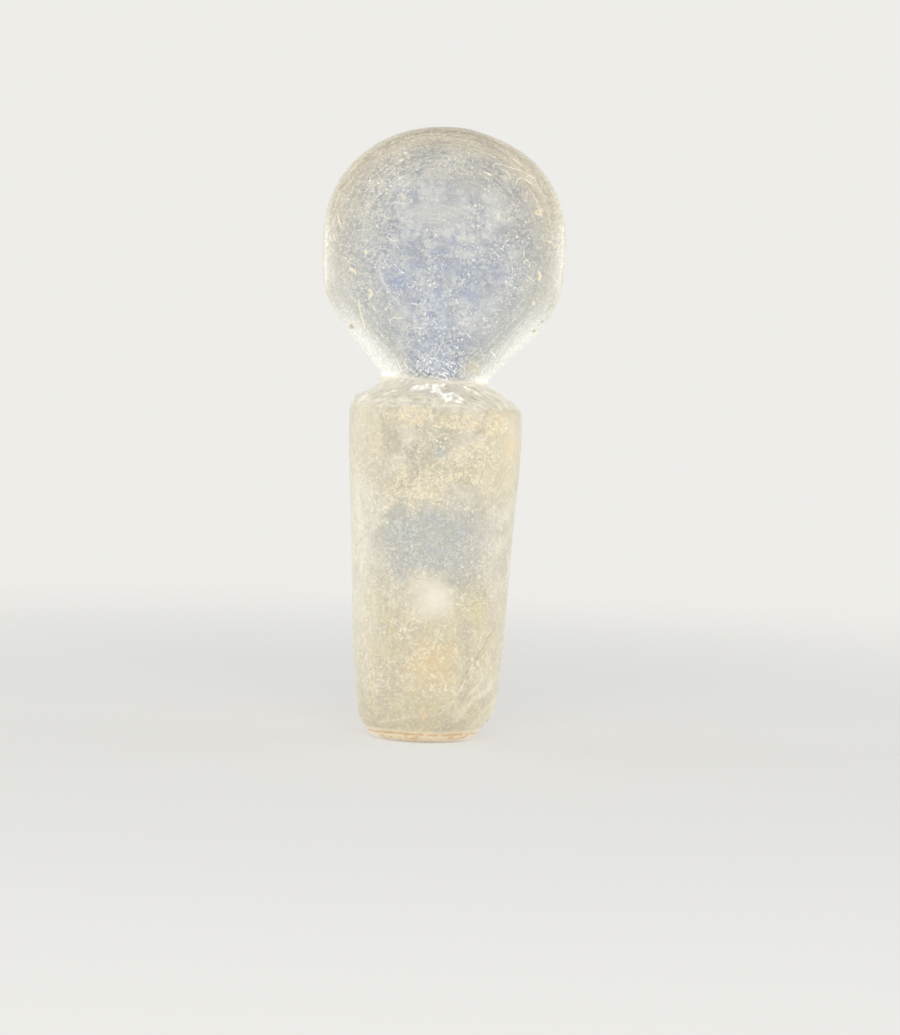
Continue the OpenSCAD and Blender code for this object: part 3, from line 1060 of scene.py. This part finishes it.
# %% Glass and skin mixed
frost = 0.80 - is_head * (0.22 - flank_highlight * 0.1)
worn = frost + any_of([fine, nicks, bold, dots]) * 0.2 + earth * 0.1
worn = worn + any_of([
    bright, cream_marks, smear, flecks, pits, z.rise(*painted_foot_light), ochre_spots])
worn = (worn + glow * 0.2).least(1.0)
height = grit * 0.5 + curd * 0.55
bump_height = 0.06 * MM
bump = step(tree, "ShaderNodeBump", {},
            {"Height": height, "Distance": bump_height, "Strength": 0.5})
carried = mix((is_head * flank_highlight * (1.0 - pits)).most(smear * 0.8), paint(0, 0, 0), WHITE)
head_clear = mix(edge.rise(0.3, 4.0), paint(247, 247, 244), paint(206, 211, 220))
clear_colour = mix(is_head, paint(240, 238, 228), head_clear)
glass_ior = 1.5
clear = step(tree, "ShaderNodeBsdfPrincipled", {},
             {"Base Color": clear_colour, "Roughness": 0.42 - is_head * 0.2, "IOR": glass_ior,
              "Transmission Weight": 1.0, "Normal": bump})
skin_shader = step(tree, "ShaderNodeBsdfPrincipled", {},
                   {"Base Color": skin, "Roughness": 0.58 - is_head * 0.10, "IOR": glass_ior,
                    "Sheen Weight": 0.8, "Sheen Roughness": 0.3,
                    "Emission Color": carried, "Emission Strength": 0.20, "Normal": bump})
both = step(tree, "ShaderNodeMixShader", {}, {0: worn, 1: clear, 2: skin_shader})
step(tree, "ShaderNodeOutputMaterial", {}, {"Surface": both})
mesh.materials.append(glass_finish)
print("The finish has", len(tree.nodes), "nodes")

# %% [markdown]
# ## The floor
#
# A wide pale floor catches the stopper's shadow. It fades out with distance, so that no
# edge shows behind the glass. Half of it glows with its own colour where the camera sees
# it, straight or in the glass, so that it stays as pale there as it is painted. The
# stopper still gets only the light that a matt floor sends back.

# %% The floor's disc
PALE = paint(238, 237, 233)
floor_r = 0.7           # metres, as are the lengths in all the cells from here on
fade_from, fade_to = 0.05, 0.2
disc = bmesh.new()
bmesh.ops.create_circle(disc, cap_ends=True, radius=floor_r, segments=96)
floor_mesh = bpy.data.meshes.new("floor")
disc.to_mesh(floor_mesh)
disc.free()
floor = bpy.data.objects.new("floor", floor_mesh)
bpy.context.scene.collection.objects.link(floor)
print("The floor is", 2 * floor_r, "m across")


# %% The floor's finish
def seen_rays(owner_tree):
    """1 for what the camera sees, straight or on or through the glass, and 0 for light."""
    ray = step(owner_tree, "ShaderNodeLightPath", {}, {}, "Is Camera Ray")
    return ray.most(ray.named("Is Glossy Ray")).most(ray.named("Is Transmission Ray"))


floor_finish = bpy.data.materials.new("floor_finish")
floor_tree = blank(floor_finish)
floor_place = step(floor_tree, "ShaderNodeTexCoord", {}, {}, "Object")
distance = step(floor_tree, "ShaderNodeVectorMath", {"operation": "LENGTH"}, {0: floor_place},
                "Value")
seen = seen_rays(floor_tree)
matt = step(floor_tree, "ShaderNodeBsdfPrincipled", {},
            {"Base Color": PALE, "Roughness": 0.9, "Specular IOR Level": 0.1})
floor_glow = step(floor_tree, "ShaderNodeEmission", {}, {"Color": PALE, "Strength": 1.0})
lifted = step(floor_tree, "ShaderNodeMixShader", {}, {0: seen * 0.5, 1: matt, 2: floor_glow})
gone = step(floor_tree, "ShaderNodeBsdfTransparent", {}, {})
faded = step(floor_tree, "ShaderNodeMixShader", {},
             {0: distance.rise(fade_from, fade_to), 1: lifted, 2: gone})
step(floor_tree, "ShaderNodeOutputMaterial", {}, {"Surface": faded})
floor_mesh.materials.append(floor_finish)
print("The floor is gone", round(1000 * fade_to), "mm from the stopper")

# %% [markdown]
# ## The world
#
# The world gives an even, slightly cool light from all sides. What the camera sees of it
# is the floor's own pale colour, so that the floor and the background run into each other.

# %% The world's light and its look
world = bpy.data.worlds.new("studio")
sky = blank(world)
sky_seen = seen_rays(sky)
lit = step(sky, "ShaderNodeBackground", {}, {"Color": paint(228, 229, 230), "Strength": 0.6})
shown = step(sky, "ShaderNodeBackground", {}, {"Color": PALE, "Strength": 1.0})
sky_shader = step(sky, "ShaderNodeMixShader", {}, {0: sky_seen, 1: lit, 2: shown})
step(sky, "ShaderNodeOutputWorld", {}, {"Surface": sky_shader})
bpy.context.scene.world = world
print("The world has", len(sky.nodes), "nodes")

# %% [markdown]
# ## The lamps
#
# Two large soft lamps stand left and right, a little behind the stopper, and light its
# edges. The strongest stands in front and above. The lamps are not seen through the glass,
# where they would show as hard white squares.

# %% Three soft lamps
aim = Vector((0, 0, 28 * MM))


def lamp(name, stand, size, power):
    data = bpy.data.lights.new(name, "AREA")
    data.shape = "RECTANGLE"
    data.size, data.size_y = size
    data.energy = power
    holder = bpy.data.objects.new(name, data)
    holder.location = stand
    holder.rotation_euler = (aim - Vector(stand)).to_track_quat("-Z", "Y").to_euler()
    holder.visible_transmission = False
    bpy.context.scene.collection.objects.link(holder)
    print(name, "gives", power, "W from", round((aim - Vector(stand)).length, 2), "m away")


lamp("left_softbox", (-0.25, 0.08, 0.04), (0.26, 0.10), 0.36)
lamp("right_softbox", (0.25, 0.08, 0.04), (0.26, 0.10), 0.36)
lamp("front_softbox", (0.0, -0.34, 0.12), (0.30, 0.14), 0.74)

# %% [markdown]
# ## The camera
#
# The camera stands level with the pinch and looks slightly down. It is turned a little
# about its own line of sight, because the stopper leans in the frame.

# %% The camera's place and its frame
camera_distance = 0.265
camera_height = 0.031
frame_centre = Vector((1.51 * MM, 0, 19.07 * MM))
frame_height = 89.0 * MM
lean = math.radians(2.04)

camera_data = bpy.data.cameras.new("camera")
camera = bpy.data.objects.new("camera", camera_data)
bpy.context.scene.collection.objects.link(camera)
stand = Vector((frame_centre.x, -camera_distance, camera_height))
sight = (frame_centre - stand).normalized()
right = sight.cross(Vector((0, 0, 1))).normalized()
up = right.cross(sight)
facing = Matrix((right, up, -sight)).transposed()
turned_camera = facing @ Matrix.Rotation(lean, 3, "Z")
camera.matrix_world = Matrix.Translation(stand) @ turned_camera.to_4x4()
camera_data.sensor_fit = "VERTICAL"
camera_data.angle_y = 2 * math.atan(frame_height / 2 / (frame_centre - stand).length)
camera_data.clip_start = 0.01
bpy.context.scene.camera = camera
bpy.context.scene.view_settings.view_transform = "Standard"
print("The camera sees", round(math.degrees(camera_data.angle_y), 1), "degrees from top to bottom")

# %% [markdown]
# ## The size
#
# Dressing the solid must not make it bigger. The box of the solid has been kept since the start, in low
# and high.
